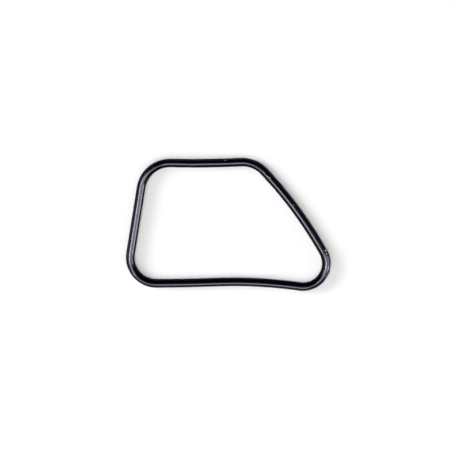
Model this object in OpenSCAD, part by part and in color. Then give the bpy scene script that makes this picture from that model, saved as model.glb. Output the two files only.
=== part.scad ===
// Moulded rubber seal ring for a water pump. A round cord follows a closed outline of nine
// stretches, each an arc that runs smoothly into the next: four corners, the slope, the top,
// the left side, and a bottom that is nearly level and then bends in. The ring lies flat with
// its underside at z = 0, and the middle of its box is the origin.
// Radii and lengths are those of the cord's middle line. A turn is the change of direction
// along a stretch in degrees, anticlockwise: a plus bows outwards and a minus bows inwards.
// The left side and the bottom get the lengths at which the ring closes.

/* [Cord] */
// Diameter of the round cord
cord_d = 3; // [1.5:0.1:5]

/* [Lower right corner] */
// Radius of the sharp corner below the slope
lower_right_r = 8.3; // [6:0.1:11]
// Turn of the sharp corner below the slope
lower_right_turn = 127.4; // [124:0.1:131]

/* [Slope] */
// Length of the sloping run
slope_len = 35.8; // [30:0.1:42]
// Outward bow of the sloping run
slope_turn = 13.8; // [8:0.1:20]

/* [Upper right corner] */
// Radius of the wide corner above the slope
upper_right_r = 10.6; // [7:0.1:14]
// Turn of the wide corner above the slope
upper_right_turn = 49.6; // [45:0.1:54]

/* [Top] */
// Length of the top run
top_len = 25.1; // [15:0.1:35]
// Inward bow of the top run
top_turn = -4.2; // [-8:0.1:-1]

/* [Upper left corner] */
// Radius of the upper left corner
upper_left_r = 10.5; // [7:0.1:14]
// Turn of the upper left corner
upper_left_turn = 82.5; // [78:0.1:87]

/* [Left side] */
// Slight inward bow of the left side
left_turn = -0.4; // [-2:0.1:-0.2]

/* [Lower left corner] */
// Radius of the lower left corner
lower_left_r = 9.3; // [6:0.1:12]

/* [Bottom] */
// Slight outward bow of the nearly level part of the bottom
bottom_turn = 1.9; // [0.5:0.1:4]
// Length of the part that bends in, up to the lower right corner
bend_len = 29.9; // [20:0.1:38]
// Inward bow of the part that bends in
bend_turn = -10.1; // [-14:0.1:-6]
// Direction of the cord where the bend meets the lower right corner, below the X axis if minus
bend_end_heading = -8; // [-12:0.1:-4]

/* [Hidden] */
rubber_black = [0.07, 0.07, 0.08];
// Steps that a full circle of the cord and of an arc is drawn with
cord_steps = 48;
arc_steps = 360;

// Turns of the stretches in order, anticlockwise from the lower right corner. The lower left
// corner, zero here, takes what is left of the full turn.
given_turns = [
    lower_right_turn, slope_turn, upper_right_turn, top_turn, upper_left_turn,
    left_turn, 0, bottom_turn, bend_turn
];
left_side = 5;
lower_left = 6;
bottom = 7;
stretches = [0 : len(given_turns) - 1];
turns = [for (i = stretches) i == lower_left ? 360 - total(given_turns, len(given_turns)) : given_turns[i]];

// Heading of the cord at the start of each stretch, and at the end of the last
headings = [for (i = [0 : len(turns)]) bend_end_heading + total(turns, i)];

// Radii of the stretches, minus where the centre is outside the ring. The left side and the
// bottom, zero here, are worked out below.
given_radii = [
    lower_right_r, arc_r(slope_len, slope_turn), upper_right_r, arc_r(top_len, top_turn), upper_left_r,
    0, lower_left_r, 0, arc_r(bend_len, bend_turn)
];

// How far each stretch would go if its radius were 1
unit_steps = [for (i = stretches) left_of(headings[i]) - left_of(headings[i + 1])];

// What the seven known stretches leave open, shared out between the left side and the bottom
open_gap = given_radii * unit_steps;
left_step = unit_steps[left_side];
bottom_step = unit_steps[bottom];
left_r = -cross(open_gap, bottom_step) / cross(left_step, bottom_step);
bottom_r = -cross(left_step, open_gap) / cross(left_step, bottom_step);
radii = [for (i = stretches) i == left_side ? left_r : i == bottom ? bottom_r : given_radii[i]];

steps = [for (i = stretches) radii[i] * unit_steps[i]];
centres = [for (i = stretches) total(steps, i) + radii[i] * left_of(headings[i])];

// Points where the middle line runs along X or Y, which reach furthest each way
far_points = [
    for (i = stretches, h = [-90 : 90 : 450])
        if ((headings[i] - h) * (headings[i + 1] - h) <= 0) centres[i] - radii[i] * left_of(h)
];
far_x = [for (p = far_points) p.x];
far_y = [for (p = far_points) p.y];
middle = [min(far_x) + max(far_x), min(far_y) + max(far_y)] / 2;

// Sum of the first entries of a list of numbers or of points
function total(list, count) = count == 0 ? 0 * list[0] : list[count - 1] + total(list, count - 1);

// Radius of an arc of a given length and turn
function arc_r(length, turn) = length / turn * 180 / PI;

// Unit vector to the left of a heading, where the centre of an outward bow lies
function left_of(heading) = [-sin(heading), cos(heading)];

// Moves to a point in two steps, to the nearest hundredth and then by the rest, so that the
// end faces of two stretches meet exactly even where a radius is metres long
module at(point) {
    near = [for (v = point) round(v * 100) / 100];
    translate(near)
        translate(point - near)
            children();
}

module cord_section() {
    circle(d = cord_d, $fn = cord_steps);
}

// One stretch of the cord, swept about its own centre
module stretch(i) {
    outward = turns[i] > 0;
    first_angle = outward ? headings[i] - 90 : headings[i + 1] + 90;
    at([centres[i].x - middle.x, centres[i].y - middle.y, cord_d / 2])
        rotate_extrude(angle = abs(turns[i]), start = first_angle, $fn = arc_steps)
            at([abs(radii[i]), 0, 0])
                cord_section();
}

module seal_ring() {
    color(rubber_black)
        for (i = stretches)
            stretch(i);
}

seal_ring();
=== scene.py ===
"""Looks of a moulded black rubber seal ring for a water pump, lying flat on a white floor."""

import math

import bmesh
import bpy
from mathutils import Matrix, Vector, noise


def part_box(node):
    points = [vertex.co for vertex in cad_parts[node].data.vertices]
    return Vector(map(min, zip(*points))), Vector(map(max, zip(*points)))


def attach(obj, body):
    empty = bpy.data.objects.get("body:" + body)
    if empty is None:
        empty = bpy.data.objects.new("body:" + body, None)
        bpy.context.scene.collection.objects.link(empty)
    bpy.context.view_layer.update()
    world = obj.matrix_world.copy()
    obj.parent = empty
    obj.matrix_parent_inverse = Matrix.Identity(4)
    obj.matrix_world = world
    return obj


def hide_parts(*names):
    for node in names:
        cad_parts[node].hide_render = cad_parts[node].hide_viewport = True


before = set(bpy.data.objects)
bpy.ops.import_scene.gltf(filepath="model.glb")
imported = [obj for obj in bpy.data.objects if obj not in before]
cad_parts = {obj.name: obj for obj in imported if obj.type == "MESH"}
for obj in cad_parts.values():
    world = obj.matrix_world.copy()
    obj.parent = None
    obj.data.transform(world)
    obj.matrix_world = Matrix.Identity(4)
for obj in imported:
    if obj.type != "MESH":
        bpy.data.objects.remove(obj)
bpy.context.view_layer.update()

MM = 0.001
# Points nearer to each other than this are one, in metres
TOUCHING = 1e-6

# The cord's middle line, as in the part's source: nine arcs, anticlockwise from the lower right
# corner. Each has a length in millimetres and a turn in degrees. A minus bows inwards. The two
# stretches without a length get the one at which the ring closes. A program fitted the numbers
# to the photograph, to the nearest tenth.
CORD_RADIUS = 1.5
FIRST_HEADING = -8.0
STRETCHES = {
    "lower_right": (math.radians(127.4) * 8.3, 127.4),
    "slope": (35.8, 13.8),
    "upper_right": (math.radians(49.6) * 10.6, 49.6),
    "top": (25.1, -4.2),
    "upper_left": (math.radians(82.5) * 10.5, 82.5),
    "left": (None, -0.4),
    "lower_left": (math.radians(99.5) * 9.3, 99.5),
    "bottom": (None, 1.9),
    "bend": (29.9, -10.1),
}

# Steps of the mesh round the cord and the longest step along it, in millimetres
SECTION_STEPS = 52
LENGTH_STEP = 0.17
# How far the parting line stands proud of the cord, in millimetres
PARTING_RISE = 0.03
# The section leans: how far outwards it goes for its height above the parting line
OUTWARD_LEAN = 0.06

# Waves of the moulded surface, which a flat and even cord lacks: length and height in millimetres
WAVES = ((7.0, 0.013), (2.2, 0.006), (1.0, 0.002))
# Lumps (plus) and dents (minus) left by the mould and by handling: a place on the cord, its
# reach and its height, in millimetres. The first three are nibs of flash on the outer side. A
# program found most of the places in the photograph.
LUMPS = (
    ((-8.29, 23.42, 1.5), 0.34, 0.13),
    ((-2.97, 23.53, 1.5), 0.34, 0.13),
    ((2.46, 23.56, 1.7), 0.34, 0.13),
    ((26.49, -23.55, 1.9), 0.36, -0.16),
    ((-12.76, 21.21, 2.2), 1.60, 0.10),
    ((-32.04, 8.25, 3.0), 0.70, 0.02),
    ((-34.54, -7.04, 3.0), 0.70, 0.02),
)
# Lumps that reach less far than this, in millimetres, get a finer mesh. It goes out to this many
# times their reach.
SMALL_REACH = 0.5
FINE_MARGIN = 1.5
# The higher this power is, the less of the cord's underside stays even
UNDERSIDE_POWER = 4
# Pale grey specks, partly dust and partly painted glints of light: a place on the cord and its
# reach, in millimetres. A part of the reach is solid.
# A program found the places in the photograph.
SPECK_CORE = 0.5
SPECKS = (
    ((34.78, -9.33, 2.63), 0.38),
    ((35.14, -10.43, 2.75), 0.26),
    ((-1.01, 22.82, 2.76), 0.20),
    ((14.03, 17.10, 2.96), 0.20),
    ((14.85, 16.75, 3.00), 0.14),
    ((23.32, 6.75, 2.98), 0.14),
    ((-34.54, -7.04, 2.99), 0.24),
    ((-32.04, 8.25, 3.00), 0.22),
    ((35.10, -15.36, 2.99), 0.18),
)

# Finish of the rubber. Its gloss is roughened a little in clouds, and more on the pale specks.
RUBBER_BLACK = (0.0005, 0.0003, 0.0015)
# Colour of the specks: partly dust and partly painted glints of light
DUST_AND_GLINT_GREY = (0.70, 0.71, 0.69)
BLUE_SHEEN = (0.95, 0.95, 1.18)
GLOSS_LEVEL = 0.96
GLOSS_ROUGHNESS = 0.08
CLOUD_ROUGHNESS = 0.07
SPECK_ROUGHNESS = 0.4
# Its sides are dull. They give way to gloss between these heights above and below mid height, in
# millimetres.
DULL_BAND = (1.24, 1.02)
DULL_BLUE_SHEEN = (0.95, 0.90, 1.80)
DULL_LEVEL = 0.03
DULL_ROUGHNESS = 0.35
# Length of its clouds and grain in millimetres, and how proud its grain and specks are, in metres
CLOUD_LENGTH = 4.0
GRAIN_LENGTH = 0.9
FINE_GRAIN_LENGTH = 0.3
GRAIN_HEIGHT = 4e-6
FINE_GRAIN_HEIGHT = 1e-6
SPECK_HEIGHT = 3e-5

FLOOR_GREY = (0.90, 0.90, 0.90)
FLOOR_GLOW = (0.02, 0.02, 0.02)
FLOOR_REACH = 2.0

# The photograph's frame is 452 pixels of 0.35714 mm wide at the ring's mid height. Its middle is
# the point that the camera looks straight down at.
VIEW_WIDTH = 161.43
VIEW_MIDDLE = (-0.7915, -0.5757)
CAMERA_HEIGHT = 1000.0
SENSOR_WIDTH = 36.0

# All lamps stand this far from the ring, in metres. Each row has a name, five angles in degrees
# and a radiance. The angles are those at which the ring sees the lamp: its middle's angle from
# straight overhead and round from the right by the rear, its half width, half height and roll.
# A program fitted these numbers to the light and shade of the photograph. Set one by one are the
# row of overhead_left, the radiances of overhead_right and of FLOOR_LAMPS, and all GLOSS_LAMPS.
LAMP_DISTANCE = 3.0
# These light the floor and don't show in the gloss
FLOOR_LAMPS = (
    ("wash_overhead_front_left", 5.0, 220.5, 6.5, 4.0, 84.9, 17.70),
    ("wash_low_left", 66.6, 167.0, 13.6, 10.1, 157.3, 13.90),
)
LAMPS = (
    ("overhead_left", 13.0, 172.0, 5.0, 2.6, 0.0, 24.00),
    ("overhead_right", 11.0, 337.9, 4.5, 5.0, 136.0, 6.80),
    ("low_right", 86.8, 343.5, 4.5, 17.3, 74.2, 6.15),
    ("low_right_2", 68.0, 348.5, 4.5, 19.9, 2.8, 5.59),
    ("low_left_2", 87.0, 178.4, 6.2, 4.5, 159.7, 4.67),
    ("overhead_front_left_2", 27.9, 211.2, 4.5, 20.1, 16.7, 3.78),
    ("overhead_front_right", 21.7, 316.0, 4.5, 4.5, 91.5, 2.34),
    ("high_front_right", 28.0, 306.4, 25.6, 4.5, 1.9, 1.85),
    ("high_front", 42.8, 251.1, 23.7, 15.4, 8.9, 1.77),
    ("middle_left", 52.9, 188.0, 4.5, 32.7, 92.5, 0.82),
    ("low_front_left", 85.6, 222.1, 29.7, 18.5, 67.2, 0.39),
)
# These show in the gloss alone
GLOSS_LAMPS = (
    ("high_left", 24.0, 163.0, 8.0, 11.0, 0.0, 1.4),
    ("high_left_2", 40.0, 196.0, 6.0, 14.0, 0.0, 1.0),
    ("high_front_2", 38.0, 280.0, 18.0, 14.0, 0.0, 0.5),
    ("overhead_right_2", 22.0, 5.0, 6.0, 9.0, 0.0, 1.5),
    ("middle_right", 58.0, 5.0, 9.0, 25.0, 0.0, 2.2),
    ("high_front_right_2", 36.0, 320.0, 14.0, 12.0, 0.0, 1.0),
)
# Sine of the angle above the horizon at which the room's pale wall starts to fade, and is gone
PALE_WALL = (0.15, 0.11)


class Sock:
    """A socket of a node tree that takes part in sums as a number does."""

    def __init__(self, tree, socket=None):
        self.tree = tree
        self.socket = socket

    def node(self, kind, settings=None, inputs=None, output=0):
        """Adds a node, sets it up, fills or links its inputs and gives one output."""
        made = self.tree.nodes.new(kind)
        for name, value in (settings or {}).items():
            setattr(made, name, value)
        for name, value in (inputs or {}).items():
            if isinstance(value, Sock):
                self.tree.links.new(value.socket, made.inputs[name])
            else:
                made.inputs[name].default_value = value
        return Sock(self.tree, made.outputs[output])

    def math(self, operation, *values):
        return self.node("ShaderNodeMath", {"operation": operation}, dict(enumerate(values)))

    def __add__(self, other):
        return self.math("ADD", self, other)

    __radd__ = __add__

    def __sub__(self, other):
        return self.math("SUBTRACT", self, other)

    def __rsub__(self, other):
        return self.math("SUBTRACT", other, self)

    def __mul__(self, other):
        return self.math("MULTIPLY", self, other)

    __rmul__ = __mul__


def left_of(heading):
    """Unit vector to the left of a heading in degrees."""
    turn = math.radians(heading)
    return Vector((-math.sin(turn), math.cos(turn)))


def middle_line():
    """Centre, radius, first heading and turn of each stretch, from the start at the origin."""
    headings = [FIRST_HEADING]
    for length, turn in STRETCHES.values():
        headings.append(headings[-1] + turn)
    unit_steps = [left_of(a) - left_of(b) for a, b in zip(headings, headings[1:])]
    radii = [length and length / math.radians(turn) for length, turn in STRETCHES.values()]
    first, second = [i for i, radius in enumerate(radii) if radius is None]
    gap = Vector((0, 0))
    for radius, step in zip(radii, unit_steps):
        gap += (radius or 0) * step
    across = unit_steps[first].cross(unit_steps[second])
    radii[first] = -gap.cross(unit_steps[second]) / across
    radii[second] = -unit_steps[first].cross(gap) / across
    made = []
    start = Vector((0, 0))
    for i, (length, turn) in enumerate(STRETCHES.values()):
        centre = start + radii[i] * left_of(headings[i])
        made.append((centre, radii[i], headings[i], turn))
        start = start + radii[i] * unit_steps[i]
    return made


def on_parting_line(vertex):
    """True at mid height of a section that still lies flat."""
    return abs(vertex.co.y) < TOUCHING


def section(bm, start, heading):
    """The cord's round section at a point, square to the heading, with its parting lines."""
    along = math.radians(heading)
    out = -left_of(heading)
    lean = out * OUTWARD_LEAN
    place = Matrix((
        (out.x, lean.x, -math.cos(along), start.x * MM),
        (out.y, lean.y, -math.sin(along), start.y * MM),
        (0, 1, 0, 0),
        (0, 0, 0, 1),
    ))
    bmesh.ops.create_circle(bm, segments=SECTION_STEPS, radius=CORD_RADIUS * MM)
    near = [edge for edge in bm.edges if any(on_parting_line(v) for v in edge.verts)]
    bmesh.ops.subdivide_edges(bm, edges=near, cuts=2)
    for v in filter(on_parting_line, bm.verts):
        v.co *= 1 + PARTING_RISE / CORD_RADIUS
    bmesh.ops.transform(bm, matrix=place, verts=bm.verts)


def stretch_mesh(centre, radius, heading, turn):
    """One stretch of the cord, its section turned about the stretch's own centre."""
    bm = bmesh.new()
    section(bm, centre - radius * left_of(heading), heading)
    bmesh.ops.spin(
        bm, geom=bm.verts[:] + bm.edges[:], cent=(centre.x * MM, centre.y * MM, 0),
        axis=(0, 0, 1), angle=math.radians(turn),
        steps=math.ceil(abs(radius * math.radians(turn)) / LENGTH_STEP),
        use_merge=False, use_duplicate=False,
    )
    mesh = bpy.data.meshes.new("stretch")
    bm.to_mesh(mesh)
    bm.free()
    return mesh


def swept_ring():
    """The closed cord as one mesh, its middle line starting at the origin."""
    bm = bmesh.new()
    for stretch in middle_line():
        mesh = stretch_mesh(*stretch)
        bm.from_mesh(mesh)
        bpy.data.meshes.remove(mesh)
    bmesh.ops.remove_doubles(bm, verts=bm.verts, dist=TOUCHING)
    bmesh.ops.recalc_face_normals(bm, faces=bm.faces)
    return bm


def to_node_place(bm, node):
    """Moves the mesh so that its box has the middle of the CAD node's box."""
    low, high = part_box(node)
    mine = [[v.co[i] for v in bm.verts] for i in range(3)]
    middle = Vector([(min(side) + max(side)) / 2 for side in mine])
    bmesh.ops.translate(bm, verts=bm.verts, vec=(low + high) / 2 - middle)


def wave_height(point):
    """How far the waves of the surface lift a point, in metres."""
    return sum(height * noise.noise(point / (length * MM)) for length, height in WAVES) * MM


def lump_height(point):
    """How far the lumps and dents lift a point, in metres."""
    lift = 0.0
    for place, reach, height in LUMPS:
        nearness = 1 - (point - Vector(place) * MM).length_squared / (reach * MM) ** 2
        lift += height * MM * max(nearness, 0) ** 2
    return lift


def finer_at_small_lumps(bm):
    for place, reach, height in LUMPS:
        if reach > SMALL_REACH:
            continue
        centre = Vector(place) * MM
        near = {v for v in bm.verts if (v.co - centre).length < FINE_MARGIN * reach * MM}
        edges = [edge for edge in bm.edges if near.issuperset(edge.verts)]
        bmesh.ops.subdivide_edges(bm, edges=edges, cuts=2, use_grid_fill=True)


def moulded_surface(bm):
    """Gives the even cord the unevenness of a moulding. The side that it lies on stays even."""
    finer_at_small_lumps(bm)
    bm.normal_update()
    moves = []
    for v in bm.verts:
        off_floor = 1 - max(-v.normal.z, 0) ** UNDERSIDE_POWER
        moves.append(v.normal * off_floor * (wave_height(v.co) + lump_height(v.co)))
    for v, move in zip(bm.verts, moves):
        v.co += move


def seal_ring():
    bm = swept_ring()
    to_node_place(bm, "seal_ring")
    moulded_surface(bm)
    mesh = bpy.data.meshes.new("moulded_ring")
    for face in bm.faces:
        face.smooth = True
    bm.to_mesh(mesh)
    bm.free()
    ring = bpy.data.objects.new("moulded_ring", mesh)
    bpy.context.scene.collection.objects.link(ring)
    return ring


def new_material(name):
    material = bpy.data.materials.new(name)
    material.use_nodes = True
    shader = material.node_tree.nodes["Principled BSDF"]
    return material, Sock(material.node_tree), shader


def link(value, shader, name):
    value.tree.links.new(value.socket, shader.inputs[name])


def noise_of(nodes, place, length, detail=0.0):
    """Noise from 0 to 1 whose grain has a length in millimetres."""
    inputs = {"Vector": place, "Scale": 1 / (length * MM), "Detail": detail}
    return nodes.node("ShaderNodeTexNoise", inputs=inputs)


def ramp(nodes, value, low, high):
    """Rises smoothly from 0 at low to 1 at high, or falls where high is the lower."""
    if low > high:
        return 1 - ramp(nodes, value, high, low)
    inputs = {"Value": value, "From Min": low, "From Max": high}
    return nodes.node("ShaderNodeMapRange", {"interpolation_type": "SMOOTHSTEP"}, inputs)


def dust_and_glints(nodes, place):
    """1 on the pale specks, partly dust and partly painted glints of light, and 0 beside them."""
    mask = None
    for centre, reach in SPECKS:
        point = tuple(side * MM for side in centre)
        inputs = {0: place, 1: point}
        distance = nodes.node("ShaderNodeVectorMath", {"operation": "DISTANCE"}, inputs, "Value")
        speck = ramp(nodes, distance, reach * MM, SPECK_CORE * reach * MM)
        mask = mask.math("MAXIMUM", mask, speck) if mask else speck
    return mask


def dull_side(nodes, place):
    """0 on the top and the underside, and 1 on the sides."""
    z = nodes.node("ShaderNodeSeparateXYZ", inputs={0: place}, output="Z")
    above_middle = z - CORD_RADIUS * MM
    from_middle = above_middle.math("ABSOLUTE", above_middle)
    return ramp(nodes, from_middle, *(MM * edge for edge in DULL_BAND))


def black_rubber():
    """Gloss black rubber. Its sides are dull, so that its edges look black as in the photograph."""
    material, nodes, gloss = new_material("black_rubber")
    place = nodes.node("ShaderNodeTexCoord", output="Object")
    clouds = noise_of(nodes, place, CLOUD_LENGTH, 1.0)
    grain = noise_of(nodes, place, GRAIN_LENGTH, 1.0)
    fine_grain = noise_of(nodes, place, FINE_GRAIN_LENGTH)
    # Specks, partly dust and partly painted glints of light, paler and rougher than the rubber
    specks = dust_and_glints(nodes, place)
    height = grain * GRAIN_HEIGHT + fine_grain * FINE_GRAIN_HEIGHT + specks * SPECK_HEIGHT
    bumps = nodes.node("ShaderNodeBump", inputs={"Height": height, "Distance": 1.0})
    colour_inputs = {0: specks, 6: (*RUBBER_BLACK, 1), 7: (*DUST_AND_GLINT_GREY, 1)}
    colour = nodes.node("ShaderNodeMix", {"data_type": "RGBA"}, colour_inputs, 2)
    roughness = GLOSS_ROUGHNESS + CLOUD_ROUGHNESS * clouds + SPECK_ROUGHNESS * specks
    link(colour, gloss, "Base Color")
    link(roughness, gloss, "Roughness")
    link(bumps, gloss, "Normal")
    gloss.inputs["Specular IOR Level"].default_value = GLOSS_LEVEL
    gloss.inputs["Specular Tint"].default_value = (*BLUE_SHEEN, 1)

    dull_inputs = {
        "Base Color": colour, "Roughness": DULL_ROUGHNESS, "Normal": bumps,
        "Specular IOR Level": DULL_LEVEL, "Specular Tint": (*DULL_BLUE_SHEEN, 1),
    }
    dull = nodes.node("ShaderNodeBsdfPrincipled", inputs=dull_inputs)
    both_inputs = {0: dull_side(nodes, place), 1: Sock(nodes.tree, gloss.outputs[0]), 2: dull}
    both = nodes.node("ShaderNodeMixShader", inputs=both_inputs)
    link(both, nodes.tree.nodes["Material Output"], "Surface")
    return material


def white_floor_paint():
    """Matt white paint, a little brighter to the eye than the light alone would make it."""
    material, nodes, shader = new_material("white_floor")
    rays = ("Is Camera Ray", "Is Glossy Ray", "Is Transmission Ray")
    seen = sum(nodes.node("ShaderNodeLightPath", output=name) for name in rays)
    glow_inputs = {0: seen, 6: (0, 0, 0, 1), 7: (*FLOOR_GLOW, 1)}
    glow = nodes.node("ShaderNodeMix", {"data_type": "RGBA"}, glow_inputs, 2)
    link(glow, shader, "Emission Color")
    shader.inputs["Emission Strength"].default_value = 1.0
    shader.inputs["Base Color"].default_value = (*FLOOR_GREY, 1)
    shader.inputs["Roughness"].default_value = 1.0
    shader.inputs["Specular IOR Level"].default_value = 0.0
    return material


def floor():
    bm = bmesh.new()
    bmesh.ops.create_grid(bm, x_segments=1, y_segments=1, size=FLOOR_REACH)
    mesh = bpy.data.meshes.new("floor")
    bm.to_mesh(mesh)
    bm.free()
    made = bpy.data.objects.new("floor", mesh)
    bpy.context.scene.collection.objects.link(made)
    mesh.materials.append(white_floor_paint())


def photo_camera():
    data = bpy.data.cameras.new("photo_camera")
    data.sensor_width = SENSOR_WIDTH
    data.lens = SENSOR_WIDTH * CAMERA_HEIGHT / VIEW_WIDTH
    data.clip_start = 0.01
    data.clip_end = 10.0
    camera = bpy.data.objects.new("photo_camera", data)
    camera.location = (
        VIEW_MIDDLE[0] * MM, VIEW_MIDDLE[1] * MM, (CORD_RADIUS + CAMERA_HEIGHT) * MM,
    )
    bpy.context.scene.collection.objects.link(camera)
    bpy.context.scene.camera = camera


def soft_lamp(name, zenith, azimuth, half_width, half_height, roll, radiance):
    """A soft box that faces the ring."""
    width = 2 * LAMP_DISTANCE * math.tan(math.radians(half_width))
    height = 2 * LAMP_DISTANCE * math.tan(math.radians(half_height))
    data = bpy.data.lights.new(name, "AREA")
    data.shape = "RECTANGLE"
    data.size = width
    data.size_y = height
    data.energy = radiance * math.pi * width * height
    lamp = bpy.data.objects.new(name, data)
    turn = Matrix.Rotation(math.radians(azimuth + 90), 4, "Z")
    lean = Matrix.Rotation(math.radians(zenith), 4, "X")
    spin = Matrix.Rotation(math.radians(roll), 4, "Z")
    reach = Matrix.Translation((0, 0, LAMP_DISTANCE))
    lamp.matrix_world = turn @ lean @ spin @ reach
    bpy.context.scene.collection.objects.link(lamp)
    return lamp


def studio_light():
    for row in FLOOR_LAMPS:
        soft_lamp(*row).visible_glossy = False
    for row in LAMPS:
        soft_lamp(*row)
    for row in GLOSS_LAMPS:
        soft_lamp(*row).visible_diffuse = False


def dim_room():
    """A dark room, with a pale wall behind the floor for views from low down."""
    world = bpy.data.worlds.new("dim_room")
    bpy.context.scene.world = world
    world.use_nodes = True
    nodes = Sock(world.node_tree)
    direction = nodes.node("ShaderNodeTexCoord", output="Generated")
    height = nodes.node("ShaderNodeSeparateXYZ", inputs={0: direction}, output="Z")
    wall = ramp(nodes, height, *PALE_WALL)
    wall_inputs = {0: wall, 6: (0, 0, 0, 1), 7: (1, 1, 1, 1)}
    colour = nodes.node("ShaderNodeMix", {"data_type": "RGBA"}, wall_inputs, 2)
    link(colour, world.node_tree.nodes["Background"], "Color")


ring = seal_ring()
ring.data.materials.append(black_rubber())
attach(ring, "root")
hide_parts("seal_ring")

floor()
photo_camera()
studio_light()
dim_room()
bpy.context.scene.view_settings.view_transform = "Standard"
